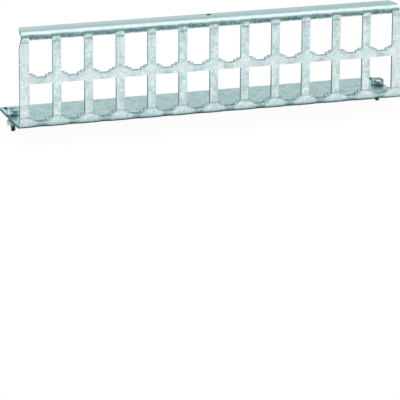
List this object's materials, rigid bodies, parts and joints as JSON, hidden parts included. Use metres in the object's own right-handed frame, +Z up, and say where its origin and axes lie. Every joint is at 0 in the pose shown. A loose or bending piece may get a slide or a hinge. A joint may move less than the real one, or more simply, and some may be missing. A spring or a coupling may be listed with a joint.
{
  "type": "patch panel carrier",
  "caption": "Folded galvanised sheet panel with a grid of stepped module openings, a top lip, a bottom shelf and captive screws in the shelf.",
  "frame": {"origin": "midway between the axes of the two screws, on the underside of the shelf", "axes": "+X along the panel to the right as seen from the open front, +Y from the front face to the shelf's rear edge, +Z up"},
  "size_m": [0.248, 0.0475, 0.0691],
  "materials": {
    "galvanised_sheet": "satin zinc with a fine spangle",
    "plated_screw": "bright zinc plate",
    "pale_collar": "semi matt"
  },
  "bodies": {
    "root": {"folded_panel": "galvanised_sheet", "screw_left": "plated_screw", "screw_right": "plated_screw", "collar_left": "pale_collar", "collar_right": "pale_collar"}
  },
  "joints": []
}
